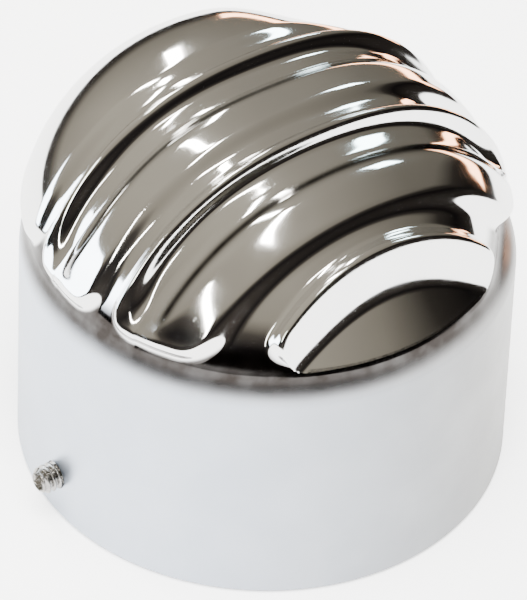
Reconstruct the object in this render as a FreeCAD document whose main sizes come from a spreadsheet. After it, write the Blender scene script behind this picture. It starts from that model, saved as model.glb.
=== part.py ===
import FreeCAD, Part
import math
import os
import Sketcher
from FreeCAD import Placement, Rotation, Vector

# Air scoop and filter housing for a single carburettor neck.  Millimetres, +Z up, origin at the
# centre of the base.  The air mouth faces -Y, the stepped rear faces +Y, the two set screws lie
# on the X axis.  All sizes live in one sheet; features are bound to it by expression.

SIZES = {
    # outer casting
    "base_r": 41.25, "wall_draft": 0.62, "wall_h": 78.0, "block_half": 48.0, "block_drop": 90.0,
    "dome_base_h": 45.4, "dome_rise": 27.4, "dome_fall": 4.5, "dome_power": 2.6, "dome_reach": 0.984,
    "rear_fullness": 0.74, "front_fullness": 0.60, "edge_blend": 0.06,
    "front_start_y": -9.1, "front_fall": 0.08, "front_side_fall": 0.8,
    # four cross plates: a crest along each front edge, then a groove; shallow valleys between them
    "plate_2_y": -8.5, "plate_3_y": 10.1, "plate_4_y": 29.1, "plate_gap": 1.9,
    "crest_inset": 1.15, "crest_half_w": 1.4, "crest_rise": 0.8,
    "groove_inset": 5.65, "groove_half_w": 3.0, "groove_depth": 1.8,
    "groove_end_h": 61.9, "groove_taper": 0.27,
    "valley_half_w": 1.7, "valley_depth": 1.3, "pattern_low_h": 45.5, "pattern_full_h": 49.5,
    "ledge_y": 34.65, "ledge_h": 51.35, "ledge_slope": 1.2, "riser_start_y": 30.7, "riser_end_y": 34.0,
    "last_curl": 0.16,
    # neck socket, stop ledge, plenum
    "neck_r": 33.65, "neck_h": 16.0, "neck_lead_in": 0.8, "stop_r": 29.5, "stop_top_h": 20.0,
    "plenum_r": 35.2, "plenum_skin": 6.0, "plenum_rear_skin": 8.5,
    "gasket_r_in": 29.8, "gasket_r_out": 34.5, "gasket_t": 1.5, "gasket_seat_r": 34.6,
    "gasket_seat_h": 18.0,
    # air mouth
    "mouth_half_w": 27.0, "mouth_low_h": 33.0, "mouth_spring_h": 38.0, "mouth_arch_r": 40.0,
    "mouth_depth": 22.0,
    # filter pack
    "gauze_r": 34.9, "gauze_t": 0.8, "gauze_pitch": 4.4, "gauze_bar": 1.1, "gauze_rim": 2.6,
    "foam_r": 34.9, "foam_h": 8.0, "fit_gap": 0.1,
    "ring_r_out": 36.4, "ring_r_in": 33.0, "ring_t": 1.2, "ring_gap_half": 4.0, "ring_groove_r": 36.7,
    # mouth screen and its frame, curved to the plenum wall
    "screen_r": 35.1, "screen_t": 0.6, "screen_half_angle": 50.0, "screen_low_h": 31.6,
    "screen_h": 18.0, "screen_cols": 17.0, "screen_rows": 5.0, "screen_bar": 1.0, "screen_rim": 3.4,
    "frame_t": 1.2, "frame_rim": 3.2,
    "rivet_angle": 48.1, "rivet_mid_h": 40.6, "rivet_r": 1.0, "rivet_head_r": 1.6, "rivet_head_t": 0.8,
    "rivet_len": 3.4,
    # set screws: number 10, 24 threads per inch, three eighths of an inch long, swivelling pad
    "screw_axis_h": 8.25, "screw_r": 2.41, "screw_root_r": 1.83, "screw_pitch": 1.058,
    "screw_len": 9.525, "screw_end_x": 44.6, "screw_hole_r": 2.46, "socket_flats": 2.38,
    "socket_depth": 3.6, "socket_mouth_r": 1.5, "pad_r": 1.55, "pad_t": 0.9, "pad_pin_r": 0.8,
    "pad_pin_len": 1.6,
}

doc = FreeCAD.newDocument("air_filter_housing")
sheet = doc.addObject("Spreadsheet::Sheet", "sizes")
for row, (name, value) in enumerate(SIZES.items(), start=1):
    sheet.set("A%d" % row, name)
    sheet.set("B%d" % row, str(value))
    sheet.setAlias("B%d" % row, name)
doc.recompute()


def size(name):
    return float(getattr(sheet, name))


def bind(obj, **formulas):
    """Bind properties to the sheet; every sheet name in a formula is written as s.name."""
    for prop, formula in formulas.items():
        obj.setExpression(prop.replace("__", "."), formula.replace("s.", "sizes."))
    return obj


def cylinder(name, radius, height, z="0", x="0"):
    obj = doc.addObject("Part::Cylinder", name)
    return bind(obj, Radius=radius, Height=height, Placement__Base__z=z, Placement__Base__x=x)


def cone(name, low_r, high_r, height, z="0"):
    obj = doc.addObject("Part::Cone", name)
    return bind(obj, Radius1=low_r, Radius2=high_r, Height=height, Placement__Base__z=z)


def join(kind, name, parts):
    """A boolean of the named kind: Cut takes two parts, MultiFuse and Common take several."""
    obj = doc.addObject("Part::" + kind, name)
    if kind == "Cut":
        obj.Base, obj.Tool = parts
    elif kind == "Common":
        obj.Base, obj.Tool = parts
    else:
        obj.Shapes = parts
    return obj


# ---------------------------------------------------------------------------------------------
# Outer form of the dome.  y runs from the mouth (-) to the rear (+), x is sideways.
# ---------------------------------------------------------------------------------------------
def ease(value, low, high):
    """Smooth step from 0 at low to 1 at high."""
    share = min(max((value - low) / (high - low), 0.0), 1.0)
    return share * share * (3.0 - 2.0 * share)


def crown(x, y):
    """Height of the smooth crown: fullest ahead of the middle, one front shoulder falls away."""
    base_r = size("base_r")
    reach = math.hypot(x, y) / base_r
    if reach > 1.02:
        reach = 1.02 + 0.08 * math.tanh((reach - 1.02) / 0.08)
    left = 1.0 - (reach / size("dome_reach")) ** size("dome_power")
    power = size("rear_fullness")
    power += (size("front_fullness") - power) * ease(-y / base_r, 0.0, 0.6)
    blend = size("edge_blend")
    if left > blend:
        fullness = left ** power
    else:
        fullness = blend ** power * (1.0 + power * (left - blend) / blend)
    ahead = max(size("front_start_y") - y, 0.0) / base_r
    fall = ahead * (size("front_fall") + size("front_side_fall") * ease(-x / base_r, 0.1, 0.7))
    rise = size("dome_rise") - size("dome_fall") * y / base_r
    return size("dome_base_h") + rise * (1.0 - min(fall, 0.6)) * fullness


def bump(y, centre, half_width, power):
    return math.exp(-abs((y - centre) / half_width) ** power)


def pattern_offset(y, height):
    """Depth of the plate pattern along the surface normal at one station."""
    total = 0.0
    fronts = (size("plate_2_y"), size("plate_3_y"), size("plate_4_y"))
    for front_y in fronts:
        total += size("crest_rise") * bump(y, front_y + size("crest_inset"), size("crest_half_w"), 2.0)
        total -= size("valley_depth") * bump(y, front_y - size("plate_gap"), size("valley_half_w"), 2.0)
    below_end = size("groove_taper") * max(size("groove_end_h") - height, 0.0)
    for front_y in fronts[:2]:
        beside = math.hypot(y - front_y - size("groove_inset"), below_end)
        total -= size("groove_depth") * bump(beside, 0.0, size("groove_half_w"), 3.0)
    return total * ease(height, size("pattern_low_h"), size("pattern_full_h"))


def ribbed_crown(x, y):
    """Crown with the plate pattern and the ledge that steps down at the rear."""
    step = 0.05
    slope = math.hypot(
        (crown(x + step, y) - crown(x - step, y)) / (2 * step),
        (crown(x, y + step) - crown(x, y - step)) / (2 * step),
    )
    reach = math.hypot(x, y)
    inside = 1.0 / (1.0 + math.exp((reach / size("base_r") - 0.985) / 0.012))
    smooth_h = crown(x, y)
    offset = pattern_offset(y, smooth_h) * min(math.sqrt(1.0 + slope * slope), 2.5) * inside
    height = smooth_h + offset
    ledge = size("ledge_h") - size("ledge_slope") * (reach - size("ledge_y"))
    across = x * x / size("base_r")
    blend = ease(y - size("last_curl") * across, size("riser_start_y"), size("riser_end_y"))
    return height + blend * (min(height, ledge) - height)


def plenum_roof(x, y):
    """Roof of the plenum: follows the crown, with a thicker skin under the rear ledge."""
    skin = size("plenum_skin")
    skin += (size("plenum_rear_skin") - skin) * ease(y, 8.0, size("riser_start_y"))
    return crown(x, y) - skin


def block_under(name, height_at, x_step, y_step):
    """Solid below a sculpted surface that is interpolated through a grid of heights."""
    half = size("block_half")
    columns = int(round(2 * half / x_step)) + 1
    rows = int(round(2 * half / y_step)) + 1
    grid = []
    for i in range(columns):
        x = -half + i * 2 * half / (columns - 1)
        ys = [-half + j * 2 * half / (rows - 1) for j in range(rows)]
        grid.append([Vector(x, y, height_at(x, y)) for y in ys])
    surface = Part.BSplineSurface()
    surface.interpolate(grid)
    obj = doc.addObject("Part::Feature", name)
    obj.Shape = surface.toShape().extrude(Vector(0, 0, -size("block_drop")))
    return obj


# ---------------------------------------------------------------------------------------------
# Shell casting
# ---------------------------------------------------------------------------------------------
outer_wall = cone("outer_wall", "s.base_r", "s.base_r - s.wall_draft * s.wall_h / s.base_r",
                  "s.wall_h")
ribbed_block = block_under("ribbed_block", ribbed_crown, 3.0, 0.8)
casting_blank = join("Common", "casting_blank", (outer_wall, ribbed_block))

neck_socket = cylinder("neck_socket", "s.neck_r", "s.neck_h + 1.5", z="-1")
neck_chamfer = cone("neck_chamfer", "s.neck_r + s.neck_lead_in", "s.neck_r", "s.neck_lead_in")
gasket_seat = cylinder("gasket_seat", "s.gasket_seat_r", "s.gasket_seat_h - s.neck_h", z="s.neck_h")
stop_opening = cylinder("stop_opening", "s.stop_r", "s.stop_top_h - s.gasket_seat_h + 2",
                        z="s.gasket_seat_h - 1")
plenum_wall = cylinder("plenum_wall", "s.plenum_r", "s.wall_h", z="s.stop_top_h")
plenum_block = block_under("plenum_block", plenum_roof, 6.0, 6.0)
plenum = join("Common", "plenum", (plenum_wall, plenum_block))
filter_stack_h = "s.stop_top_h + 2 * s.gauze_t + s.foam_h + 4 * s.fit_gap"
ring_groove = cylinder("ring_groove", "s.ring_groove_r", "s.ring_t + 0.3", z=filter_stack_h + " - 0.05")


def screw_hole(name, side):
    """Tapped hole through the thick lower wall, at its thread's major diameter."""
    obj = doc.addObject("Part::Cylinder", name)
    bind(obj, Radius="s.screw_hole_r", Height="s.base_r - s.neck_r + 4",
         Placement__Base__z="s.screw_axis_h", Placement__Base__x="%d * (s.neck_r - 2)" % side)
    obj.Placement.Rotation = Rotation(Vector(0, 1, 0), 90 * side)
    return obj


def sketch_on(body, name, plane):
    sketch = body.newObject("Sketcher::SketchObject", name)
    origin_planes = {feature.Role: feature for feature in body.Origin.OriginFeatures}
    sketch.AttachmentSupport = [(origin_planes[plane], "")]
    sketch.MapMode = "FlatFace"
    return sketch


def polyline(sketch, points, arc_from=None):
    """Closed outline through the points; the edge after arc_from bulges up as one arc."""
    count = len(points)
    for index, start in enumerate(points):
        end = points[(index + 1) % count]
        if index == arc_from:
            centre_x = (start[0] + end[0]) / 2
            radius = size("mouth_arch_r")
            drop = math.sqrt(radius ** 2 - (start[0] - centre_x) ** 2)
            circle = Part.Circle(Vector(centre_x, start[1] - drop, 0), Vector(0, 0, 1), radius)
            angles = sorted(math.atan2(p[1] - start[1] + drop, p[0] - centre_x)
                            for p in (start, end))
            sketch.addGeometry(Part.ArcOfCircle(circle, angles[0], angles[1]), False)
        else:
            line = Part.LineSegment(Vector(start[0], start[1], 0), Vector(end[0], end[1], 0))
            sketch.addGeometry(line, False)


# The mouth is an arched window cut straight back through the front wall.
mouth_body = doc.addObject("PartDesign::Body", "mouth_window")
mouth_sketch = sketch_on(mouth_body, "mouth_outline", "XZ_Plane")
half_w, low_h, spring_h = size("mouth_half_w"), size("mouth_low_h"), size("mouth_spring_h")
polyline(mouth_sketch,
         [(-half_w, low_h), (half_w, low_h), (half_w, spring_h), (-half_w, spring_h)], arc_from=2)
mouth_pad = mouth_body.newObject("PartDesign::Pad", "mouth_pad")
mouth_pad.Profile = mouth_sketch
bind(mouth_pad, Length="s.base_r + 5")
mouth_body.Tip = mouth_pad
doc.recompute()
front_half = doc.addObject("Part::Box", "front_half")
bind(front_half, Length="2 * s.base_r + 20", Width="s.mouth_depth + 10", Height="s.wall_h",
     Placement__Base__x="-s.base_r - 10", Placement__Base__y="-s.base_r - 10")
mouth_cutter = join("Common", "mouth_cutter", (mouth_body, front_half))


def rivet_at(name, side, radius, length, start_r, at_h="s.rivet_mid_h"):
    """Cylinder on a radius of the plenum, beside the mouth, pointing outwards."""
    angle = math.radians(-90 + side * size("rivet_angle"))
    obj = doc.addObject("Part::Cylinder", name)
    bind(obj, Radius=radius, Height=length, Placement__Base__z=at_h,
         Placement__Base__x="%.9f * (%s)" % (math.cos(angle), start_r),
         Placement__Base__y="%.9f * (%s)" % (math.sin(angle), start_r))
    outward = Vector(math.cos(angle), math.sin(angle), 0)
    obj.Placement.Rotation = Rotation(Vector(0, 0, 1), outward)
    return obj


hollows = [neck_socket, neck_chamfer, gasket_seat, stop_opening, plenum, ring_groove, mouth_cutter,
           screw_hole("screw_hole_right", 1), screw_hole("screw_hole_left", -1)]
for side, side_name in ((1, "right"), (-1, "left")):
    hollows.append(rivet_at("rivet_hole_" + side_name, side, "s.rivet_r + 0.02",
                            "s.rivet_len", "s.plenum_r - 1"))
hollow = join("MultiFuse", "shell_hollows", hollows)
scoop_shell = join("Cut", "scoop_shell", (casting_blank, hollow))

# ---------------------------------------------------------------------------------------------
# Filter pack: gasket, two gauzes, foam disc, snap ring
# ---------------------------------------------------------------------------------------------


def ring(name, outer_r, inner_r, height, z):
    outside = cylinder(name + "_outside", outer_r, height, z=z)
    inside = cylinder(name + "_inside", inner_r, "(%s) + 2" % height, z="(%s) - 1" % z)
    return join("Cut", name, (outside, inside))


neck_gasket = ring("neck_gasket", "s.gasket_r_out", "s.gasket_r_in", "s.gasket_t",
                   "s.gasket_seat_h - s.gasket_t - s.fit_gap")


def gauze(name, z):
    """Round wire gauze: a disc with a grid of square windows inside a plain rim."""
    disc = cylinder(name + "_disc", "s.gauze_r", "s.gauze_t", z=z)
    windows = doc.addObject("Part::Feature", name + "_windows")
    pitch, bar = size("gauze_pitch"), size("gauze_bar")
    limit = size("gauze_r") - size("gauze_rim")
    count = int(limit // pitch) + 1
    window = pitch - bar
    cells = []
    for i in range(-count, count + 1):
        for j in range(-count, count + 1):
            centre = Vector(i * pitch, j * pitch, 0)
            if centre.Length + window * 0.71 < limit:
                corner = centre + Vector(-window / 2, -window / 2, 0)
                cells.append(Part.makeBox(window, window, 2 * size("stop_top_h"), corner))
    windows.Shape = Part.makeCompound(cells)
    return join("Cut", name, (disc, windows))


lower_gauze = gauze("lower_gauze", "s.stop_top_h + s.fit_gap")
filter_foam = cylinder("filter_foam", "s.foam_r", "s.foam_h",
                       z="s.stop_top_h + s.gauze_t + 2 * s.fit_gap")
upper_gauze = gauze("upper_gauze", "s.stop_top_h + s.gauze_t + s.foam_h + 3 * s.fit_gap")

ring_blank = ring("ring_blank", "s.ring_r_out", "s.ring_r_in", "s.ring_t", filter_stack_h + " + 0.05")
ring_slot = doc.addObject("Part::Box", "ring_slot")
bind(ring_slot, Length="2 * s.ring_gap_half", Width="s.base_r", Height="s.wall_h",
     Placement__Base__x="-s.ring_gap_half")
snap_ring = join("Cut", "snap_ring", (ring_blank, ring_slot))

# ---------------------------------------------------------------------------------------------
# Mouth screen, its frame and two rivets
# ---------------------------------------------------------------------------------------------


def curved_sheet(name, outer_r, thickness, half_angle, low_h, height):
    """Sheet bent to a radius about the housing's axis, centred on the mouth."""
    outside = cylinder(name + "_outside", outer_r, height, z=low_h)
    inside = cylinder(name + "_inside", "%s - %s" % (outer_r, thickness), "(%s) + 2" % height,
                      z="(%s) - 1" % low_h)
    bind(outside, Angle="2 * (%s)" % half_angle)
    outside.Placement.Rotation = Rotation(Vector(0, 0, 1), -90 - size("screen_half_angle"))
    return join("Cut", name, (outside, inside))


def wedge_windows(name, columns, rows, bar, rim, low_h, height, half_angle):
    """Grid of windows cut towards the axis; each leaves a bar between it and the next."""
    radius = size("screen_r")
    open_angle = 2 * (half_angle - math.degrees(rim / radius))
    bar_angle = math.degrees(bar / radius)
    cell_angle = (open_angle + bar_angle) / columns - bar_angle
    open_h = height - 2 * rim
    cell_h = (open_h + bar) / rows - bar
    cells = []
    for column in range(int(columns)):
        start = -90 - open_angle / 2 + column * (cell_angle + bar_angle)
        for row in range(int(rows)):
            z = low_h + rim + row * (cell_h + bar)
            cell = Part.makeCylinder(radius + 6, cell_h, Vector(0, 0, z), Vector(0, 0, 1),
                                     cell_angle)
            cell.rotate(Vector(0, 0, 0), Vector(0, 0, 1), start)
            cells.append(cell)
    obj = doc.addObject("Part::Feature", name)
    obj.Shape = Part.makeCompound(cells)
    return obj


def drilled(name, blank, windows, hole_name):
    holes = [rivet_at("%s_%s" % (hole_name, side_name), side, "s.rivet_r + 0.02", "s.rivet_len * 2",
                      "s.plenum_r - 6") for side, side_name in ((1, "right"), (-1, "left"))]
    cuts = join("MultiFuse", name + "_cuts", holes + [windows])
    return join("Cut", name, (blank, cuts))


screen_sheet = curved_sheet("screen_sheet", "s.screen_r", "s.screen_t", "s.screen_half_angle",
                            "s.screen_low_h", "s.screen_h")
screen_windows = wedge_windows("screen_windows", size("screen_cols"), size("screen_rows"),
                               size("screen_bar"), size("screen_rim"), size("screen_low_h"),
                               size("screen_h"), size("screen_half_angle"))
mouth_screen = drilled("mouth_screen", screen_sheet, screen_windows, "screen_hole")

frame_sheet = curved_sheet("frame_sheet", "s.screen_r - s.screen_t - 0.05", "s.frame_t",
                           "s.screen_half_angle", "s.screen_low_h", "s.screen_h")
frame_window = wedge_windows("frame_window", 1.0, 1.0, 0.0, size("frame_rim"),
                             size("screen_low_h"), size("screen_h"), size("screen_half_angle"))
screen_frame = drilled("screen_frame", frame_sheet, frame_window, "frame_hole")

rivets = []
for side, side_name in ((1, "right"), (-1, "left")):
    head_base = "s.screen_r - s.screen_t - s.frame_t - 0.1"
    shank = rivet_at("rivet_shank_" + side_name, side, "s.rivet_r", "s.rivet_len", head_base)
    head = rivet_at("rivet_head_" + side_name, side, "s.rivet_head_r", "s.rivet_head_t",
                    head_base + " - s.rivet_head_t")
    rivets.append(join("MultiFuse", "screen_rivet_" + side_name, [shank, head]))

# ---------------------------------------------------------------------------------------------
# Set screws with swivelling pads
# ---------------------------------------------------------------------------------------------


def threaded_rod():
    """Outline of the threaded rod along +Z, turned about its axis: V grooves and two chamfers."""
    radius, root, pitch = size("screw_r"), size("screw_root_r"), size("screw_pitch")
    length = size("screw_len")
    chamfer = radius - root
    crest_half = pitch / 16
    points = [Vector(0, 0, 0), Vector(root, 0, 0), Vector(radius, 0, chamfer)]
    z = chamfer + crest_half
    while z + pitch < length - chamfer:
        points += [Vector(radius, 0, z), Vector(root, 0, z + pitch / 2 - crest_half),
                   Vector(root, 0, z + pitch / 2 + crest_half),
                   Vector(radius, 0, z + pitch - crest_half)]
        z += pitch
    points += [Vector(radius, 0, length - chamfer), Vector(root, 0, length), Vector(0, 0, length)]
    outline = Part.Face(Part.makePolygon(points + [points[0]]))
    return outline.revolve(Vector(0, 0, 0), Vector(0, 0, 1), 360)


def set_screw(name, side):
    """Socket set screw; its local +Z points out of the housing along the screw's axis."""
    rod = doc.addObject("Part::Feature", name + "_rod")
    rod.Shape = threaded_rod()
    socket = doc.addObject("Part::Prism", name + "_socket")
    bind(socket, Circumradius="s.socket_flats / sqrt(3)", Height="s.socket_depth + 1",
         Placement__Base__z="s.screw_len - s.socket_depth")
    socket.Polygon = 6
    lead_in = cone(name + "_socket_mouth", "s.socket_mouth_r - 0.5", "s.socket_mouth_r + 0.1", "0.6",
                   z="s.screw_len - 0.5")
    pin_hole = cylinder(name + "_pin_hole", "s.pad_pin_r + 0.05", "s.pad_pin_len + 1.2", z="-1")
    cuts = join("MultiFuse", name + "_cuts", [socket, lead_in, pin_hole])
    screw = join("Cut", name, (rod, cuts))
    bind(screw, Placement__Base__x="%d * (s.screw_end_x - s.screw_len)" % side,
         Placement__Base__z="s.screw_axis_h")
    screw.Placement.Rotation = Rotation(Vector(0, 1, 0), 90 * side)
    return screw


def screw_pad(name, side):
    """Soft pad on the screw's nose: a disc on a pin that turns in the screw's end."""
    disc = cylinder(name + "_disc", "s.pad_r", "s.pad_t", z="-s.pad_t - 0.05")
    pin = cylinder(name + "_pin", "s.pad_pin_r", "s.pad_pin_len + 0.05", z="-0.05")
    pad = join("MultiFuse", name, [disc, pin])
    bind(pad, Placement__Base__x="%d * (s.screw_end_x - s.screw_len)" % side,
         Placement__Base__z="s.screw_axis_h")
    pad.Placement.Rotation = Rotation(Vector(0, 1, 0), 90 * side)
    return pad


screws = [set_screw("set_screw_right", 1), set_screw("set_screw_left", -1)]
pads = [screw_pad("screw_pad_right", 1), screw_pad("screw_pad_left", -1)]

# ---------------------------------------------------------------------------------------------
# Check and export
# ---------------------------------------------------------------------------------------------
doc.recompute()
nodes = [scoop_shell, neck_gasket, lower_gauze, filter_foam, upper_gauze, snap_ring, mouth_screen,
         screen_frame] + rivets + screws + pads
for obj in doc.Objects:
    if "Invalid" in obj.State or "Error" in obj.State:
        raise RuntimeError("feature failed: %s %s" % (obj.Name, obj.State))
    if hasattr(obj, "Shape") and obj.isDerivedFrom("Part::Feature") and obj.Shape.isNull():
        raise RuntimeError("empty shape: " + obj.Name)
os.makedirs("parts", exist_ok=True)
for node in nodes:
    node.Label = node.Name
    if not node.Shape.isValid() or node.Shape.Volume <= 0:
        raise RuntimeError("bad solid: " + node.Name)
    box = node.Shape.BoundBox
    print("%-20s solids %d volume %9.1f  x %.2f %.2f  y %.2f %.2f  z %.2f %.2f" % (
        node.Name, len(node.Shape.Solids), node.Shape.Volume,
        box.XMin, box.XMax, box.YMin, box.YMax, box.ZMin, box.ZMax))
    node.Shape.exportStep("parts/%s.step" % node.Name)
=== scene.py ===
import math

import bpy
import numpy as np
from mathutils import Matrix, Vector
from mathutils.kdtree import KDTree


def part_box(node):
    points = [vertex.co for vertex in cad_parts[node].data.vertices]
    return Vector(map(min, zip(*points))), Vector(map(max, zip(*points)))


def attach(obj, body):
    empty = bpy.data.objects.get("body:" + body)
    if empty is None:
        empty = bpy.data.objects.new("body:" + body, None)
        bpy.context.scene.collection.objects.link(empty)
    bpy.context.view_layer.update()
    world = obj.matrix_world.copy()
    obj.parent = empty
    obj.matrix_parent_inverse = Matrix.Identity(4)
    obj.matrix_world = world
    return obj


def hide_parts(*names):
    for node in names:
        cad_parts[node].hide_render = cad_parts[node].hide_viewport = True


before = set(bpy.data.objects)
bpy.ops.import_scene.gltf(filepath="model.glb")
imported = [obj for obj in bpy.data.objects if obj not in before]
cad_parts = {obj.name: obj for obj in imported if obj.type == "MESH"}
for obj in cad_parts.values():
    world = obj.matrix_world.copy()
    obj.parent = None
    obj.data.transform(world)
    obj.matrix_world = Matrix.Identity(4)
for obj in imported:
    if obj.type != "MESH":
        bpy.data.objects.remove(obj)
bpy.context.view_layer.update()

SHELL_LOW, SHELL_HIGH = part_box("scoop_shell")
R = (SHELL_HIGH[0] - SHELL_LOW[0]) / 2
MM = 0.001

# ---------------------------------------------------------------------------------------------
# Camera: long lens, behind and to the right of the housing, rolled a little
# ---------------------------------------------------------------------------------------------
CAMERA_AZIMUTH = math.radians(144)
CAMERA_ELEVATION = math.radians(41.2)
CAMERA_DISTANCE = 16 * R
CAMERA_ROLL = math.radians(2.38)
CAMERA_TARGET = Vector((0, 0, 0.6 * R))
CAMERA_LENS = 238.66
CAMERA_SHIFT = (-0.0027, 0.0172)


def make_camera():
    back = Vector((
        math.sin(CAMERA_AZIMUTH) * math.cos(CAMERA_ELEVATION),
        -math.cos(CAMERA_AZIMUTH) * math.cos(CAMERA_ELEVATION),
        math.sin(CAMERA_ELEVATION),
    ))
    data = bpy.data.cameras.new("camera")
    data.lens = CAMERA_LENS
    data.shift_x, data.shift_y = CAMERA_SHIFT
    camera = bpy.data.objects.new("camera", data)
    bpy.context.scene.collection.objects.link(camera)
    turn = back.to_track_quat("Z", "Y").to_matrix() @ Matrix.Rotation(CAMERA_ROLL, 3, "Z")
    camera.matrix_world = Matrix.Translation(CAMERA_TARGET + back * CAMERA_DISTANCE) @ turn.to_4x4()
    bpy.context.scene.camera = camera


make_camera()


# ---------------------------------------------------------------------------------------------
# Node helpers
# ---------------------------------------------------------------------------------------------
def ranged(tree, value, low, high, out_low, out_high):
    node = tree.nodes.new("ShaderNodeMapRange")
    tree.links.new(value, node.inputs["Value"])
    for socket, number in zip(("From Min", "From Max", "To Min", "To Max"), (low, high, out_low, out_high)):
        node.inputs[socket].default_value = number
    return node.outputs["Result"]


class Nodes:
    """A material's node tree with short calls for the nodes used here."""

    def __init__(self, name):
        self.material = bpy.data.materials.new(name)
        self.material.use_nodes = True
        self.tree = self.material.node_tree
        self.shader = self.tree.nodes["Principled BSDF"]
        self.place = self.add("ShaderNodeTexCoord").outputs["Object"]

    def add(self, kind, **settings):
        node = self.tree.nodes.new(kind)
        for key, value in settings.items():
            setattr(node, key, value)
        return node

    def link(self, source, target):
        self.tree.links.new(source, target)

    def put(self, socket, value):
        if hasattr(value, "is_output"):
            self.link(value, socket)
        else:
            socket.default_value = value

    def noise(self, scale, detail=4.0, rough=0.5, place=None):
        node = self.add("ShaderNodeTexNoise")
        self.link(place or self.place, node.inputs["Vector"])
        node.inputs["Scale"].default_value = scale
        node.inputs["Detail"].default_value = detail
        node.inputs["Roughness"].default_value = rough
        return node.outputs["Fac"]

    def cells(self, scale, feature="F1"):
        node = self.add("ShaderNodeTexVoronoi", feature=feature)
        self.link(self.place, node.inputs["Vector"])
        node.inputs["Scale"].default_value = scale
        return node.outputs["Distance"]

    def remap(self, value, low, high, out_low, out_high):
        return ranged(self.tree, value, low, high, out_low, out_high)

    def math(self, operation, first, second):
        node = self.add("ShaderNodeMath", operation=operation)
        self.put(node.inputs[0], first)
        self.put(node.inputs[1], second)
        return node.outputs[0]

    def mix(self, factor, first, second):
        node = self.add("ShaderNodeMix", data_type="RGBA")
        self.put(node.inputs["Factor"], factor)
        self.put(node.inputs["A"], first)
        self.put(node.inputs["B"], second)
        return node.outputs["Result"]

    def bump(self, height, distance, strength=1.0, under=None):
        node = self.add("ShaderNodeBump")
        self.link(height, node.inputs["Height"])
        node.inputs["Distance"].default_value = distance
        node.inputs["Strength"].default_value = strength
        if under is not None:
            self.link(under, node.inputs["Normal"])
        return node.outputs["Normal"]


def rgb(red, green, blue):
    return (red, green, blue, 1.0)


# ---------------------------------------------------------------------------------------------
# Materials
# ---------------------------------------------------------------------------------------------
WALL_TO_DOME_COLOUR = (0.98, 1.12)
WALL_TO_DOME_POLISH = (1.02, 1.14)
SATIN_ROUGHNESS = 0.24
# The wall's painted light and shade: where it runs from light to dark round the wall, and how fast.
WALL_PAINTED_SHADE_REACH, WALL_PAINTED_SHADE_POWER = (-0.5, 1.5), 1.4


def polished_aluminium():
    """Mirror polish on the dome and a satin wall, with painted light and shade across the wall and painted
    shade, dark, in the creases and under the toes.
    """
    n = Nodes("polished_aluminium")
    shader = n.shader
    shader.inputs["Metallic"].default_value = 1.0
    split = n.add("ShaderNodeSeparateXYZ")
    n.link(n.place, split.inputs[0])
    sideways, along, height = split.outputs["X"], split.outputs["Y"], split.outputs["Z"]
    cloud = n.remap(n.noise(90, 5), 0.35, 0.7, 0, 1)
    bright = n.mix(cloud, rgb(0.86, 0.86, 0.86), rgb(0.90, 0.90, 0.895))
    # Painted light and shade round the wall: light and bluish on one side, dark on the other.
    left, right = (reach * R for reach in WALL_PAINTED_SHADE_REACH)
    toward_shaded_side = n.remap(n.math("SUBTRACT", along, sideways), left, right, 0, 1)
    lit_wall_tint = n.mix(cloud, rgb(0.49, 0.54, 0.62), rgb(0.53, 0.58, 0.66))
    shaded_wall_tint = n.mix(cloud, rgb(0.21, 0.205, 0.195), rgb(0.25, 0.245, 0.235))
    wall = n.mix(n.math("POWER", toward_shaded_side, WALL_PAINTED_SHADE_POWER), lit_wall_tint, shaded_wall_tint)
    low, high = (reach * R for reach in WALL_TO_DOME_COLOUR)
    metal_colour = n.mix(n.remap(height, low, high, 0, 1), wall, bright)
    # Painted shade: the creases, the grooves, the ledge line and the band under the toes go near-black.
    painted_shade_attribute = n.add("ShaderNodeAttribute", attribute_name="painted_crease_shade").outputs["Fac"]
    painted_shade = n.math("MULTIPLY", painted_shade_attribute, n.remap(n.noise(220, 4), 0.25, 0.6, 0.92, 1))
    n.link(n.mix(painted_shade, metal_colour, rgb(0.03, 0.026, 0.024)), shader.inputs["Base Color"])
    low, high = (reach * R for reach in WALL_TO_DOME_POLISH)
    satin = n.remap(height, low, high, SATIN_ROUGHNESS, 0.0)
    n.link(n.math("ADD", satin, n.remap(n.noise(240, 6), 0.3, 0.75, 0.06, 0.11)),
           shader.inputs["Roughness"])
    soft = n.bump(n.noise(160, 3), 0.00002, 0.25)
    pits = n.remap(n.cells(900), 0.0, 0.10, 0, 1)
    n.link(n.bump(pits, 0.00004, 0.15, soft), shader.inputs["Normal"])
    return n.material


def machined_aluminium():
    """Inside of the casting: dull, with turning marks on the bored faces."""
    n = Nodes("cast_inside")
    shader = n.shader
    shader.inputs["Metallic"].default_value = 1.0
    n.link(n.mix(n.noise(300, 6), rgb(0.42, 0.42, 0.41), rgb(0.62, 0.62, 0.60)),
           shader.inputs["Base Color"])
    n.link(n.remap(n.noise(500, 5), 0.3, 0.7, 0.32, 0.5), shader.inputs["Roughness"])
    n.link(n.bump(n.noise(1400, 8), 0.00015, 0.4), shader.inputs["Normal"])
    return n.material


def metal(name, dark, light, rough_low, rough_high, grain):
    n = Nodes(name)
    shader = n.shader
    shader.inputs["Metallic"].default_value = 1.0
    n.link(n.mix(n.remap(n.noise(grain, 5), 0.3, 0.7, 0, 1), rgb(*dark), rgb(*light)),
           shader.inputs["Base Color"])
    n.link(n.remap(n.noise(grain * 2, 6), 0.3, 0.7, rough_low, rough_high),
           shader.inputs["Roughness"])
    n.link(n.bump(n.noise(grain * 3, 6), 0.00004, 0.3), shader.inputs["Normal"])
    return n.material


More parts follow.
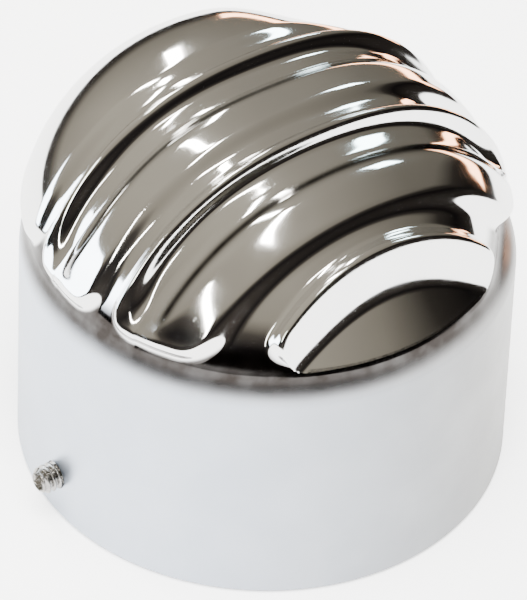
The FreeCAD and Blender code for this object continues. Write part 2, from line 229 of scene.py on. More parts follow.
def gasket_rubber():
    n = Nodes("gasket_rubber")
    n.link(n.mix(n.noise(400, 6), rgb(0.012, 0.012, 0.012), rgb(0.035, 0.034, 0.033)),
           n.shader.inputs["Base Color"])
    n.link(n.remap(n.noise(900, 5), 0.3, 0.7, 0.55, 0.8), n.shader.inputs["Roughness"])
    n.link(n.bump(n.noise(1500, 6), 0.00008, 0.4), n.shader.inputs["Normal"])
    return n.material


def open_foam():
    n = Nodes("filter_foam")
    pores = n.cells(1100)
    n.link(n.mix(n.remap(pores, 0.1, 0.6, 0, 1), rgb(0.010, 0.010, 0.012), rgb(0.075, 0.075, 0.08)),
           n.shader.inputs["Base Color"])
    n.shader.inputs["Roughness"].default_value = 0.9
    n.link(n.bump(pores, 0.0005, 0.9), n.shader.inputs["Normal"])
    return n.material


# ---------------------------------------------------------------------------------------------
# Floor, lamps and the room that the polished metal mirrors
# ---------------------------------------------------------------------------------------------
def plane(name, size, place, material):
    mesh = bpy.data.meshes.new(name)
    half = size / 2
    mesh.from_pydata([(-half, -half, 0), (half, -half, 0), (half, half, 0), (-half, half, 0)], [],
                     [(0, 1, 2, 3)])
    obj = bpy.data.objects.new(name, mesh)
    bpy.context.scene.collection.objects.link(obj)
    obj.location = place
    mesh.materials.append(material)


FLOOR_SIZE, FLOOR_DROP, FLOOR_GLOW = 0.62, 0.0002, 1.6


def floor_material():
    """Pale paper that also glows where the camera sees it directly, so that it looks near white."""
    n = Nodes("floor_paper")
    n.link(n.mix(n.noise(3, 3), rgb(0.86, 0.86, 0.865), rgb(0.90, 0.90, 0.90)),
           n.shader.inputs["Base Color"])
    n.link(n.remap(n.noise(30, 4), 0.3, 0.7, 0.7, 0.85), n.shader.inputs["Roughness"])
    n.shader.inputs["Specular IOR Level"].default_value = 0.1
    n.shader.inputs["Emission Color"].default_value = rgb(1, 1, 1)
    seen = n.add("ShaderNodeLightPath").outputs["Is Camera Ray"]
    n.link(n.math("MULTIPLY", seen, FLOOR_GLOW), n.shader.inputs["Emission Strength"])
    return n.material


def strip_lamp(name, direction, distance, length, width, watts, turn, colour=(1.0, 0.97, 0.9)):
    """A fluorescent tube's soft strip, aimed at the housing, turned about its own aim."""
    data = bpy.data.lights.new(name, "AREA")
    data.shape = "RECTANGLE"
    data.size, data.size_y = length, width
    data.energy = watts
    data.color = colour
    obj = bpy.data.objects.new(name, data)
    bpy.context.scene.collection.objects.link(obj)
    aim = Vector(direction).normalized()
    turn_matrix = aim.to_track_quat("Z", "Y").to_matrix() @ Matrix.Rotation(turn, 3, "Z")
    obj.matrix_world = Matrix.Translation(aim * distance) @ turn_matrix.to_4x4()
    return obj


# The room by height: dim low down, black at the horizon, then a grey-brown ceiling
ROOM_COLOURS = ((0.0, (0.05, 0.042, 0.036)), (0.22, (0.014, 0.012, 0.012)), (0.37, (0.07, 0.06, 0.05)),
                (0.50, (0.36, 0.325, 0.26)), (1.0, (0.50, 0.455, 0.37)))
HORIZON_LIFT = (-0.7, 0.3, 0.45, 0.0)
ROOM_STRENGTH = (-0.75, 0.2, 0.42, 1.05)
BACKDROP_STRENGTH = 3.0


def make_world():
    """Pale to the camera; mirrored, the room's colours, which change with the direction."""
    world = bpy.data.worlds.new("room")
    bpy.context.scene.world = world
    world.use_nodes = True
    tree = world.node_tree
    tree.nodes.clear()
    out = tree.nodes.new("ShaderNodeOutputWorld")
    coord = tree.nodes.new("ShaderNodeTexCoord")
    split = tree.nodes.new("ShaderNodeSeparateXYZ")
    tree.links.new(coord.outputs["Generated"], split.inputs[0])
    lift = ranged(tree, split.outputs["Y"], *HORIZON_LIFT)
    height = tree.nodes.new("ShaderNodeMath")
    height.operation = "ADD"
    tree.links.new(split.outputs["Z"], height.inputs[0])
    tree.links.new(lift, height.inputs[1])
    ramp = tree.nodes.new("ShaderNodeValToRGB")
    tree.links.new(height.outputs[0], ramp.inputs["Fac"])
    elements = ramp.color_ramp.elements
    for element, (place, colour) in zip(elements, (ROOM_COLOURS[0], ROOM_COLOURS[-1])):
        element.position, element.color = place, rgb(*colour)
    for place, colour in ROOM_COLOURS[1:-1]:
        elements.new(place).color = rgb(*colour)
    dim = ranged(tree, split.outputs["X"], *ROOM_STRENGTH)
    room = tree.nodes.new("ShaderNodeBackground")
    tree.links.new(ramp.outputs["Color"], room.inputs["Color"])
    tree.links.new(dim, room.inputs["Strength"])
    white = tree.nodes.new("ShaderNodeBackground")
    white.inputs["Color"].default_value = (1, 1, 1, 1)
    white.inputs["Strength"].default_value = BACKDROP_STRENGTH
    rays = tree.nodes.new("ShaderNodeLightPath")
    mix = tree.nodes.new("ShaderNodeMixShader")
    tree.links.new(rays.outputs["Is Camera Ray"], mix.inputs[0])
    tree.links.new(room.outputs[0], mix.inputs[1])
    tree.links.new(white.outputs[0], mix.inputs[2])
    tree.links.new(mix.outputs[0], out.inputs["Surface"])


make_world()
plane("floor", FLOOR_SIZE, (0, 0, -FLOOR_DROP), floor_material())
strip_lamp("lamp_far_1", (-0.35, -1.3, 1.0), 2.0, 1.0, 0.14, 14, 1.4)
strip_lamp("lamp_top_1", (0.1, -0.35, 1.0), 2.0, 1.0, 0.16, 18, 1.5)
strip_lamp("lamp_top_2", (0.1, 0.25, 1.0), 2.0, 0.9, 0.16, 16, 1.3)
strip_lamp("lamp_side", (1.6, 0.9, 1.0), 2.0, 1.0, 0.14, 12, 1.9)
strip_lamp("window", (-0.9, -0.2, 1.0), 2.0, 0.5, 0.4, 9, 0.2, (0.75, 0.95, 1.0))
strip_lamp("warm_wall", (-0.8, -0.5, 0.04), 1.5, 1.6, 0.22, 11, 0.0, (1.0, 0.50, 0.27))
strip_lamp("window_low", (1.0, -0.7, 0.14), 1.5, 1.3, 0.55, 26, 0.0, (0.82, 0.91, 1.0))
strip_lamp("fill", (0.3, 0.5, 1.6), 2.4, 2.0, 2.0, 300, 0.0, (1.0, 1.0, 1.0)).visible_glossy = False


# ---------------------------------------------------------------------------------------------
# Mesh builders, in metres
# ---------------------------------------------------------------------------------------------
def add_mesh(name, verts, faces, smooth_angle=None):
    mesh = bpy.data.meshes.new(name)
    mesh.from_pydata([tuple(v) for v in verts], [], faces)
    mesh.update()
    mesh.shade_smooth()
    if smooth_angle is not None:
        mesh.set_sharp_from_angle(angle=math.radians(smooth_angle))
    obj = bpy.data.objects.new(name, mesh)
    bpy.context.scene.collection.objects.link(obj)
    return obj


def loop_faces(loops, width, closed=False, start=0):
    """Quads between neighbouring loops of points; closed joins the last loop to the first."""
    faces = []
    for k in range(loops if closed else loops - 1):
        here, there = start + k * width, start + (k + 1) % loops * width
        faces += [(here + i, here + (i + 1) % width, there + (i + 1) % width, there + i)
                  for i in range(width)]
    return faces


def skin(name, loops, closed=False, smooth_angle=40):
    """Surface through loops of points; an open one is capped by fans at both ends."""
    loops = np.asarray(loops, float)
    count, width = loops.shape[:2]
    verts = loops.reshape(-1, 3)
    faces = loop_faces(count, width, closed)
    if not closed:
        verts = np.concatenate([verts, [loops[0].mean(axis=0), loops[-1].mean(axis=0)]])
        first, last, base = count * width, count * width + 1, (count - 1) * width
        faces += [((i + 1) % width, i, first) for i in range(width)]
        faces += [(base + i, base + (i + 1) % width, last) for i in range(width)]
    return add_mesh(name, verts, faces, smooth_angle)


def rounded(points, radius, closed, steps=4):
    """Polygon with its corners turned into short curves; an open one keeps its end points."""
    points = [np.array(p, float) for p in points]
    out = []
    for i, corner in enumerate(points):
        if not closed and i in (0, len(points) - 1):
            out.append(corner)
            continue
        before, after = points[i - 1] - corner, points[(i + 1) % len(points)] - corner
        reach = min(radius, np.linalg.norm(before) * 0.45, np.linalg.norm(after) * 0.45)
        start = corner + before / np.linalg.norm(before) * reach
        end = corner + after / np.linalg.norm(after) * reach
        for k in range(steps + 1):
            share = k / steps
            out.append((1 - share) ** 2 * start + 2 * share * (1 - share) * corner + share ** 2 * end)
    return out


def lathe(name, profile, closed=False, segments=96, fillet=0.0):
    """Turns a profile of (radius, height) in mm about the Z axis."""
    if fillet:
        profile = rounded(profile, fillet, closed)
    turn = np.arange(segments) * 2 * math.pi / segments
    loops = [np.stack([max(r, 1e-4) * np.cos(turn), max(r, 1e-4) * np.sin(turn),
                       np.full(segments, float(z))], axis=-1) for r, z in profile]
    return skin(name, np.array(loops) * MM, closed)


def stand(obj, outward, origin_mm):
    """Moves a mesh built along +Z so that it lies along a direction from a point."""
    turn = Vector(outward).to_track_quat("Z", "Y").to_matrix().to_4x4()
    obj.data.transform(Matrix.Translation(Vector(origin_mm) * MM) @ turn)
    return obj


def dress(obj, material, body, slot, *nodes):
    """Gives a piece its finish and the body it moves with, and hides the CAD nodes it stands for."""
    if not obj.data.materials:
        obj.data.materials.append(material)
    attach(obj, body)
    if nodes:
        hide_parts(*nodes)
    return obj


# ---------------------------------------------------------------------------------------------
# Shell: the outside is one smooth surface worked out from formulas, in units of the base radius.
# s runs from the mouth (-1) to the rear (+1), t is sideways.
# ---------------------------------------------------------------------------------------------
WALL_DRAFT = 0.015
SPRING_H = 1.10
CROWN_RISE = 0.665
CROWN_FALL = 0.11
CROWN_POWER = 2.6
CROWN_FULLNESS = (0.74, 0.60)
CROWN_R = 1 - WALL_DRAFT * SPRING_H
FRONT_S = -0.22
FRONT_FALL = (0.08, 0.8)
FOOT_ROUND, FOOT_ROUND_IN = 0.02, 0.9
WALL_SHARE = 0.3
SURFACE_STEP = 1e-4
NORMAL_STEP = 1e-5
SHARP_EDGE = math.radians(38)

# Four overlapping plates: (front edge, rear edge) along s.  All but the first have a groove.
PLATES = ((-1.6, -0.25), (-0.205, 0.195), (0.245, 0.665), (0.705, 1.6))
PLATE_FOOT = (1.12, 1.12, 1.12, 1.15)
PLATE_CORNER = 0.13
PLATE_FRONT_EDGE = (-0.012, 0.045)
PLATE_REAR_EDGE = (-0.02, 0.075)
PLATE_RISE = 0.032
VALLEY_GROWTH = 0.05
FOOT_FADE = (0.95, 1.14)
CREST_INSET = 0.028
CREST_HALF = 0.034
CREST_RISE = 0.020
GROOVE_INSET = 0.137
GROOVE_HALF = 0.073
GROOVE_DEPTH = 0.043
GROOVE_POWERS = (6.5, 2.7)
GROOVE_END_H = 1.50
GROOVE_TAPER = 0.27
LAST_CURL = 0.16
RISER_S = (0.745, 0.825)
LEDGE_ROUND = 0.03
LEDGE_START = (0.84, 1.245)
LEDGE_SLOPE = 1.2


# Painted shade in the creases: thin dark lines along the grooves, and a band that darkens up to the toes
GROOVE_LINE = (GROOVE_INSET + 0.9 * GROOVE_HALF, 0.016)
TOE_SHADE = (0.95, 1.08)
TOE_EDGE = (-0.008, 0.012)
TOE_TOP = (1.17, 1.27)
LEDGE_LINE = (0.972, 0.02)


def smooth(value, low, high):
    x = np.clip((value - low) / (high - low), 0, 1)
    return x * x * x * (x * (6 * x - 15) + 10)


def lower_of(first, second, blend):
    """The lower of two heights, with the corner between them rounded."""
    gap = np.clip(blend - np.abs(first - second), 0, None) / blend
    return np.minimum(first, second) - gap ** 3 * blend / 6


def bell(value, centre, half, power=2.0):
    return np.exp(-np.abs((value - centre) / half) ** power)


def crown_height(s, t):
    left = 1 - (np.hypot(s, t) / CROWN_R) ** CROWN_POWER
    ahead = np.maximum(FRONT_S - s, 0)
    all_over, one_side = FRONT_FALL
    fall = ahead * (all_over + one_side * smooth(-t, 0.1, 0.7))
    height = (CROWN_RISE - CROWN_FALL * s) * (1 - fall)
    rear_power, front_power = CROWN_FULLNESS
    power = rear_power + (front_power - rear_power) * smooth(-s, 0.0, 0.6)
    return SPRING_H + height * np.clip(left, 0, 1) ** power


def plate_depth(s, z, front, rear, foot):
    """Distance inside a plate's rounded outline, seen from the side; negative outside."""
    middle, half = (front + rear) / 2, (rear - front) / 2
    over_s = np.abs(s - middle) - (half - PLATE_CORNER)
    over_z = foot + PLATE_CORNER - z
    outside = np.hypot(np.maximum(over_s, 0), np.maximum(over_z, 0))
    return PLATE_CORNER - outside - np.minimum(np.maximum(over_s, over_z), 0)


def rib_offset(s, t, z):
    """Offset along the crown's normal that makes the plates, their crests and their grooves."""
    raised = np.zeros_like(s)
    detail = np.zeros_like(s)
    toe_share = 0.5 + 0.5 * smooth(z, 1.15, 1.30)
    for (front, rear), foot in zip(PLATES, PLATE_FOOT):
        if rear > 1.5:
            s = s - LAST_CURL * t * t
        from_outline = plate_depth(s, z, front, 9.0, foot)
        inside = smooth(from_outline, *PLATE_FRONT_EDGE)
        inside = inside * smooth(plate_depth(s, z, -9.0, rear, foot), *PLATE_REAR_EDGE)
        raised = np.maximum(raised, inside)
        crest = CREST_RISE * bell(from_outline, CREST_INSET, CREST_HALF)
        detail = detail + crest * inside * toe_share
        if front > -1 and rear < 1.5:
            below_end = GROOVE_TAPER * np.maximum(GROOVE_END_H - z, 0)
            past_middle = s - front - GROOVE_INSET
            power = np.where(past_middle < 0, *GROOVE_POWERS)
            to_groove = np.hypot(past_middle, below_end)
            detail = detail - GROOVE_DEPTH * bell(to_groove, 0, GROOVE_HALF, power)
    valley = PLATE_RISE + VALLEY_GROWTH * smooth(-t, 0.35, 0.8)
    return smooth(z, *FOOT_FADE) * (detail - valley * (1 - raised))


def painted_shade_share(s, t, z):
    """How much painted shade: 0 is clean metal, 1 a black crease."""
    grooves = np.zeros_like(s)
    deepest = np.full_like(s, -1.0)
    for (front, rear), foot in zip(PLATES, PLATE_FOOT):
        if rear > 1.5:
            s = s - LAST_CURL * t * t
        deepest = np.maximum(deepest, plate_depth(s, z, front, rear, foot))
        if front > -1 and rear < 1.5:
            groove = bell(s - front, *GROOVE_LINE) * smooth(z, 1.18, 1.30)
            grooves = np.maximum(grooves, groove)
    # Painted shadow: darkens the wall up to the outline of the toes.
    below_toes = smooth(z, *TOE_SHADE) * (1 - smooth(deepest, *TOE_EDGE)) * (1 - smooth(z, *TOE_TOP))
    ledge = bell(np.hypot(s, t), *LEDGE_LINE) * smooth(s, *RISER_S) * smooth(z, 1.10, 1.13)
    return np.maximum(np.maximum(grooves, below_toes), ledge)


def outer_point(angle, along):
    """Points of the outer skin for a plan angle and a parameter from 0 (wall foot) to 1 (top)."""
    up = np.clip(along / WALL_SHARE, 0, 1) * SPRING_H
    turn = np.clip((along - WALL_SHARE) / (1 - WALL_SHARE), 0, 1) * math.pi / 2
    foot = np.clip(1 - up / FOOT_ROUND, 0, 1)
    wall = 1 - WALL_DRAFT * up - FOOT_ROUND * (1 - np.sqrt(1 - foot * foot)) * FOOT_ROUND_IN
    reach = np.where(along < WALL_SHARE, wall, CROWN_R * np.cos(turn) ** (2 / CROWN_POWER))
    t, s = reach * np.cos(angle), reach * np.sin(angle)
    z = np.where(along < WALL_SHARE, up, crown_height(s, t))
    return s, t, z


def carve(s, t, z):
    """Moves points of the plain crown onto the ribbed and stepped surface."""
    step = SURFACE_STEP
    reach = np.hypot(s, t)
    inside = np.minimum(1, 0.999 * CROWN_R / np.maximum(reach, 1e-6))
    si, ti = s * inside, t * inside
    slope_s = (crown_height(si + step, ti) - crown_height(si - step, ti)) / (2 * step)
    slope_t = (crown_height(si, ti + step) - crown_height(si, ti - step)) / (2 * step)
    length = np.sqrt(slope_s ** 2 + slope_t ** 2 + 1)
    offset = rib_offset(s, t, z)
    s = s - slope_s / length * offset
    t = t - slope_t / length * offset
    z = z + offset / length
    ledge = LEDGE_START[1] - LEDGE_SLOPE * (np.hypot(s, t) - LEDGE_START[0])
    share = smooth(s - LAST_CURL * t * t, *RISER_S)
    return s, t, z + share * (lower_of(z, ledge, LEDGE_ROUND) - z)


def outer_surface(angle, along):
    s, t, z = carve(*outer_point(angle, along))
    return np.stack([t, s, z], axis=-1) * R


def outer_solid(columns=900, rows=330, samples=3000):
    """The closed outer skin with evenly spaced rows, its exact normals and its painted crease shade."""
    angles = np.arange(columns) * 2 * math.pi / columns
    along = np.linspace(0, 0.9995, samples)
    fine = outer_surface(*np.meshgrid(angles, along, indexing="ij"))
    steps = np.linalg.norm(np.diff(fine, axis=1), axis=2)
    length = np.concatenate([np.zeros((columns, 1)), np.cumsum(steps, axis=1)], axis=1)
    spaced = np.array([np.interp(np.linspace(0, run[-1], rows), run, along) for run in length])
    angle = np.repeat(angles[:, None], rows, axis=1)
    points = outer_surface(angle, spaced)
    sideways = outer_surface(angle + NORMAL_STEP, spaced) - outer_surface(angle - NORMAL_STEP, spaced)
    upwards = outer_surface(angle, spaced + NORMAL_STEP) - outer_surface(angle, spaced - NORMAL_STEP)
    normals = np.cross(sideways, upwards)
    normals /= np.maximum(np.linalg.norm(normals, axis=2, keepdims=True), 1e-30)
    painted_shade = painted_shade_share(*outer_point(angle, spaced))
    shell = skin("scoop_skin", points.transpose(1, 0, 2), smooth_angle=None)
    return shell, points.reshape(-1, 3), normals.reshape(-1, 3), painted_shade.reshape(-1)


# Hollow, in mm from the base: neck socket, gasket seat, stop ledge, plenum and ring groove
NECK_PROFILE = ((0, -2), (36.45, -2), (33.65, 0.8), (33.65, 16.0), (34.6, 16.0), (34.6, 18.0),
                (29.5, 18.0), (29.5, 20.6), (0, 20.6))
PLENUM_R, PLENUM_LOW, PLENUM_SKIN = 35.2, 20.0, (6.0, 8.5)
RING_GROOVE = ((0, 30.0), (36.7, 30.0), (36.7, 31.5), (0, 31.5))
MOUTH_HALF, MOUTH_LOW, MOUTH_SPRING, MOUTH_ARCH_R, MOUTH_CORNER = 27.0, 33.0, 38.0, 40.0, 3.0
MOUTH_Y = (-50.0, -22.0)
SCREW_AXIS_H, SCREW_HOLE_R = 8.25, 2.46


def plenum_cutter(rings=40, segments=240):
    """The plenum: a straight wall below a smooth roof that follows the crown."""
    turn = np.arange(segments) * 2 * math.pi / segments
    loops = [np.stack([PLENUM_R * np.cos(turn), PLENUM_R * np.sin(turn),
                       np.full(segments, PLENUM_LOW)], axis=-1)]
    for share in np.linspace(1, 0.004, rings):
        x, y = PLENUM_R * share * np.cos(turn), PLENUM_R * share * np.sin(turn)
        thickness = PLENUM_SKIN[0] + (PLENUM_SKIN[1] - PLENUM_SKIN[0]) * smooth(y, 8.0, 30.7)
        roof = crown_height(y * MM / R, x * MM / R) * R / MM - thickness
        loops.append(np.stack([x, y, roof], axis=-1))
    return skin("plenum_cutter", np.array(loops) * MM)


def mouth_cutter():
    """The air mouth: an arched window with rounded corners, cut straight in from the front."""
    drop = math.sqrt(MOUTH_ARCH_R ** 2 - MOUTH_HALF ** 2)
    arch = [(x, MOUTH_SPRING - drop + math.sqrt(MOUTH_ARCH_R ** 2 - x * x))
            for x in np.linspace(MOUTH_HALF, -MOUTH_HALF, 25)]
    outline = rounded([(-MOUTH_HALF, MOUTH_LOW), (MOUTH_HALF, MOUTH_LOW)] + arch, MOUTH_CORNER,
                      closed=True)
    loops = [[(x, y, z) for x, z in outline] for y in reversed(MOUTH_Y)]
    return skin("mouth_cutter", np.array(loops) * MM)


def keep_finish(mesh, points, normals, painted_shade):
    """Gives the cut skin the exact normals of the surface and its painted crease shade."""
    tree = KDTree(len(points))
    for index, point in enumerate(points):
        tree.insert(point, index)
    tree.balance()
    nearest = [tree.find(vertex.co) for vertex in mesh.vertices]
    painted_shade_attribute = mesh.attributes.new("painted_crease_shade", "FLOAT", "POINT")
    painted_shade_attribute.data.foreach_set("value", [painted_shade[index] for _, index, _ in nearest])
    corner_normals = [n.vector.copy() for n in mesh.corner_normals]
    for polygon in mesh.polygons:
        if polygon.material_index:
            continue
        for loop in polygon.loop_indices:
            _, index, distance = nearest[mesh.loops[loop].vertex_index]
            if distance < 1e-6:
                corner_normals[loop] = normals[index]
    mesh.normals_split_custom_set(corner_normals)


def hollow_out(shell, inside_material, *finish):
    """Cuts the hollow, the mouth and the screw holes; cut faces take the inside's finish."""
    cutters = [lathe("neck_cutter", NECK_PROFILE, segments=240), plenum_cutter(), mouth_cutter(),
               lathe("ring_cutter", RING_GROOVE, segments=240)]
    for side in (1, -1):
        hole = lathe("screw_cutter", ((0, 0), (SCREW_HOLE_R, 0), (SCREW_HOLE_R, 14), (0, 14)))
        cutters.append(stand(hole, (side, 0, 0), (side * 32.0, 0, SCREW_AXIS_H)))
    shell.data.materials.append(inside_material)
    for cutter in cutters:
        for material in shell.data.materials:
            cutter.data.materials.append(material)
        for polygon in cutter.data.polygons:
            polygon.material_index = 1
        cut = shell.modifiers.new("cut", "BOOLEAN")
        cut.operation, cut.solver, cut.object = "DIFFERENCE", "MANIFOLD", cutter
        mesh = bpy.data.meshes.new_from_object(shell.evaluated_get(
            bpy.context.evaluated_depsgraph_get()))
        shell.modifiers.clear()
        shell.data = mesh
        bpy.data.objects.remove(cutter)
    shell.data.shade_smooth()
    shell.data.set_sharp_from_angle(angle=SHARP_EDGE)
    keep_finish(shell.data, *finish)


shell, *surface = outer_solid()
shell.data.materials.append(polished_aluminium())
hollow_out(shell, machined_aluminium(), *surface)
dress(shell, None, "housing", "polished_aluminium", "scoop_shell")

# ---------------------------------------------------------------------------------------------
# Filter pack: gasket, two woven gauzes, foam disc, snap ring
# ---------------------------------------------------------------------------------------------
STEEL = metal("plated_steel", (0.36, 0.36, 0.35), (0.58, 0.58, 0.56), 0.22, 0.4, 900)
SCREW_STEEL = metal("screw_steel", (0.24, 0.23, 0.22), (0.42, 0.41, 0.39), 0.16, 0.32, 900)
WIRE = metal("wire", (0.50, 0.50, 0.49), (0.70, 0.70, 0.68), 0.18, 0.34, 1200)
BLACK_STEEL = metal("spring_steel", (0.20, 0.20, 0.20), (0.34, 0.34, 0.34), 0.25, 0.45, 900)
SOFT_ALUMINIUM = metal("rivet_aluminium", (0.66, 0.66, 0.66), (0.80, 0.80, 0.80), 0.2, 0.38, 900)
BRASS = metal("turned_brass", (0.50, 0.34, 0.12), (0.72, 0.53, 0.24), 0.25, 0.4, 900)
RUBBER = gasket_rubber()
FOAM = open_foam()


def box_profile(r_in, r_out, low, high):
    return ((r_in, low), (r_out, low), (r_out, high), (r_in, high))


dress(lathe("gasket", box_profile(29.8, 34.5, 16.4, 17.9), closed=True, segments=160, fillet=0.35),
      RUBBER, "housing", "gasket_rubber", "neck_gasket")


def weave(half_u, half_v, pitch, wire_r, clip_r=None, sides=8, step=4):
    """Plain weave in a plane, as (u, v, depth) in mm, cut to a rectangle or to a circle."""
    verts, faces = [], []
    ring = np.arange(sides) * 2 * math.pi / sides
    for family, (half_across, half_along) in enumerate(((half_u, half_v), (half_v, half_u))):
        count = int((clip_r or half_across) / pitch - 0.25)
        for k in range(-count, count + 1):
            across = k * pitch
            reach = math.sqrt(clip_r ** 2 - across ** 2) if clip_r else half_along
            path = np.linspace(-reach, reach, int(2 * reach / pitch * step) + 2)
            wave = wire_r * np.cos(math.pi * (path / pitch + k + family))
            start = len(verts)
            for along, lift in zip(path, wave):
                for a in ring:
                    side, up = across + wire_r * math.cos(a), lift + wire_r * math.sin(a)
                    verts.append((along, side, up) if family else (side, along, up))
            faces += loop_faces(len(path), sides, start=start)
            for first in (start, start + (len(path) - 1) * sides):
                faces.append(tuple(range(first, first + sides)))
    return np.array(verts), faces


def gauze(name, z_mid, node):
    """Round woven gauze with a flat crimped rim."""
    verts, faces = weave(33.5, 33.5, 1.9, 0.19, clip_r=33.5)
    verts[:, 2] += z_mid
    mesh = add_mesh(name + "_weave", verts * MM, faces)
    dress(mesh, WIRE, "housing", "wire_gauze", node)
    rim = lathe(name + "_rim", box_profile(32.4, 34.9, z_mid - 0.4, z_mid + 0.4), closed=True,
                segments=160, fillet=0.25)
    dress(rim, STEEL, "housing", "wire_gauze", node)


gauze("lower_gauze_wire", 20.5, "lower_gauze")
gauze("upper_gauze_wire", 29.5, "upper_gauze")


def foam_disc(radius=34.8, low=21.05, high=28.95, edge=0.6, grain=0.12):
    """Disc of open-cell foam; its faces are slightly uneven."""
    steps = np.linspace(0.2, radius - edge, 60)
    profile = [(r, low) for r in steps] + [(radius, z) for z in np.linspace(low + edge, high - edge, 12)]
    profile += [(r, high) for r in steps[::-1]]
    foam = lathe("foam_disc", profile, segments=300)
    rng = np.random.default_rng(7)
    for vertex in foam.data.vertices:
        out = 1.0 if vertex.co.z > 0.5 * (low + high) * MM else -1.0
        vertex.co.z -= out * rng.uniform(0, grain) * MM
    return foam


dress(foam_disc(), FOAM, "housing", "filter_foam", "filter_foam")


def snap_ring(r_out=36.4, r_in=33.0, low=30.05, high=31.25, gap_half=0.115, eye=(2.3, 1.0)):
    """Internal snap ring: a flat open hoop with an eye for the pliers at each end."""
    section = rounded(box_profile(r_in, r_out, low, high), 0.2, closed=True)
    angles = np.linspace(math.pi / 2 + gap_half, 2.5 * math.pi - gap_half, 220)
    loops = [[(r * math.cos(a), r * math.sin(a), z) for r, z in section] for a in angles]
    hoop = skin("snap_ring_hoop", np.array(loops) * MM)
    dress(hoop, BLACK_STEEL, "housing", "spring_steel", "snap_ring")
    for side, angle in (("right", angles[-1] - 0.045), ("left", angles[0] + 0.045)):
        ring = lathe("snap_ring_eye_" + side, box_profile(eye[1], eye[0], low, high), closed=True,
                     segments=48, fillet=0.2)
        ring.data.transform(Matrix.Translation(Vector((
            (r_in - 0.6) * MM * math.cos(angle), (r_in - 0.6) * MM * math.sin(angle), 0))))
        dress(ring, BLACK_STEEL, "housing", "spring_steel", "snap_ring")


snap_ring()

# ---------------------------------------------------------------------------------------------
# Mouth screen, its frame and two rivets
# ---------------------------------------------------------------------------------------------
SCREEN_R, SCREEN_T, FRAME_T = 35.1, 0.6, 1.2
SCREEN_HALF_ANGLE = math.radians(50)
SCREEN_LOW, SCREEN_H = 31.6, 18.0
RIVET_ANGLE, RIVET_H = math.radians(48.1), 40.6


def bend(points, radius):
    """Wraps (u, v, depth) in mm round the housing's axis, centred on the mouth."""
    angle = points[..., 0] / radius
    reach = radius + points[..., 2]
    return np.stack([reach * np.sin(angle), -reach * np.cos(angle), points[..., 1]], axis=-1)


def window_frame(name, radius, thickness, rim, corner=2.0, per_side=24):
    """Bent sheet with one wide window and a plain rim, its edges rounded."""
    half_u = SCREEN_HALF_ANGLE * radius
    loops = []
    edge = thickness * 0.2
    for inset, depth in ((0, edge), (edge, 0), (rim - edge, 0), (rim, edge), (rim, thickness - edge),
                         (rim - edge, thickness), (edge, thickness), (0, thickness - edge)):
        u, v = half_u - inset, SCREEN_H / 2 - inset
        box = [(-u, -v), (u, -v), (u, v), (-u, v)]
        outline = rounded(box, corner, closed=True, steps=8)
        dense = []
        for here, there in zip(outline, outline[1:] + outline[:1]):
            pieces = per_side if np.linalg.norm(there - here) > 3 * corner else 1
            dense += [here + (there - here) * k / pieces for k in range(pieces)]
        loops.append([(x, y + SCREEN_LOW + SCREEN_H / 2, -depth) for x, y in dense])
    return skin(name, bend(np.array(loops), radius) * MM, closed=True)


verts, faces = weave(SCREEN_HALF_ANGLE * SCREEN_R - 2.6, SCREEN_H / 2 - 2.6, 1.7, 0.15)
verts += np.array([0, SCREEN_LOW + SCREEN_H / 2, -SCREEN_T / 2])
dress(add_mesh("mouth_screen_weave", bend(verts, SCREEN_R) * MM, faces), WIRE,
      "housing", "wire_gauze", "mouth_screen")
dress(window_frame("mouth_screen_rim", SCREEN_R, SCREEN_T, 3.4), STEEL,
      "housing", "wire_gauze", "mouth_screen")
dress(window_frame("screen_frame_sheet", SCREEN_R - SCREEN_T - 0.05, FRAME_T, 3.2), BLACK_STEEL,
      "housing", "spring_steel", "screen_frame")

for side, side_name in ((1, "right"), (-1, "left")):
    base = SCREEN_R - SCREEN_T - FRAME_T - 0.1
    dome = [(1.6 * math.cos(a), -0.8 * math.sin(a)) for a in np.linspace(0.15, math.pi / 2, 8)]
    rivet = lathe("rivet_" + side_name, dome[::-1] + [(1.6, 0), (1.0, 0), (1.0, 3.3), (0, 3.3)],
                  segments=40)
    outward = (math.sin(side * RIVET_ANGLE), -math.cos(RIVET_ANGLE), 0)
    stand(rivet, outward, (base * outward[0], base * outward[1], RIVET_H))
    dress(rivet, SOFT_ALUMINIUM, "housing", "rivet_aluminium", "screen_rivet_" + side_name)

# ---------------------------------------------------------------------------------------------
# Set screws with swivelling pads
# ---------------------------------------------------------------------------------------------
SCREW_R, SCREW_ROOT_R, SCREW_PITCH, SCREW_LEN, SCREW_END_X = 2.41, 1.83, 1.058, 9.525, 44.6
SOCKET_FLATS, SOCKET_DEPTH, SOCKET_MOUTH_R = 2.38, 3.6, 1.55
PIN_HOLE_R, PIN_HOLE_DEPTH = 0.86, 2.2


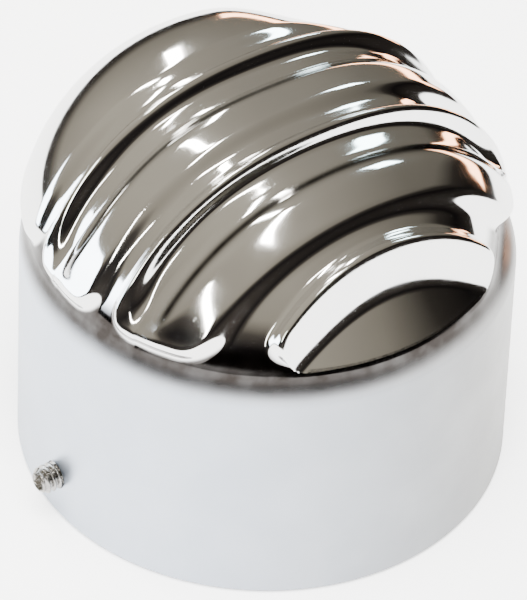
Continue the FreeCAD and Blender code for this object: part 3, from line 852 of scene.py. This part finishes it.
def set_screw(name, segments=96, per_pitch=16):
    """Right-hand threaded socket screw along +Z: nose at 0, hexagon socket in the outer end."""
    turn = np.arange(segments) * 2 * math.pi / segments
    hexagon = SOCKET_FLATS / 2 / np.cos((turn + math.pi / 6) % (math.pi / 3) - math.pi / 6)
    round_one = np.ones(segments)
    loops = [(0.3 * round_one, PIN_HOLE_DEPTH), (PIN_HOLE_R * round_one, PIN_HOLE_DEPTH - 0.3),
             (PIN_HOLE_R * round_one, 0.15), ((PIN_HOLE_R + 0.15) * round_one, 0.0)]
    for z in np.linspace(0, SCREW_LEN, int(SCREW_LEN / SCREW_PITCH * per_pitch)):
        phase = (z / SCREW_PITCH - turn / (2 * math.pi)) % 1.0
        flank = np.clip((np.abs(2 * phase - 1) - 0.10) / 0.74, 0, 1)
        nearest_end = min(z, SCREW_LEN - z)
        limit = SCREW_ROOT_R - 0.25 + nearest_end * 0.9
        loops.append((np.minimum(SCREW_ROOT_R + (SCREW_R - SCREW_ROOT_R) * flank, limit), z))
    loops += [((SOCKET_MOUTH_R + 0.03) * round_one, SCREW_LEN),
              (SOCKET_MOUTH_R * round_one, SCREW_LEN - 0.04), (hexagon, SCREW_LEN - 0.35),
              (hexagon, SCREW_LEN - SOCKET_DEPTH + 0.2), (hexagon * 0.93, SCREW_LEN - SOCKET_DEPTH),
              (0.1 * round_one, SCREW_LEN - SOCKET_DEPTH - 0.5)]
    rings = [np.stack([r * np.cos(turn), r * np.sin(turn), np.full(segments, z)], axis=-1)
             for r, z in loops]
    return skin(name, np.array(rings) * MM, smooth_angle=50)


PAD_PROFILE = ((0, -0.95), (1.55, -0.95), (1.55, -0.05), (0.8, -0.05), (0.8, 1.6), (0, 1.6))
for side, side_name in ((1, "right"), (-1, "left")):
    nose = (side * (SCREW_END_X - SCREW_LEN), 0, SCREW_AXIS_H)
    screw = stand(set_screw("screw_" + side_name), (side, 0, 0), nose)
    dress(screw, SCREW_STEEL, "screw_" + side_name, "screw_steel", "set_screw_" + side_name)
    pad = stand(lathe("pad_" + side_name, PAD_PROFILE, segments=64, fillet=0.15), (side, 0, 0), nose)
    dress(pad, BRASS, "pad_" + side_name, "pad_brass", "screw_pad_" + side_name)
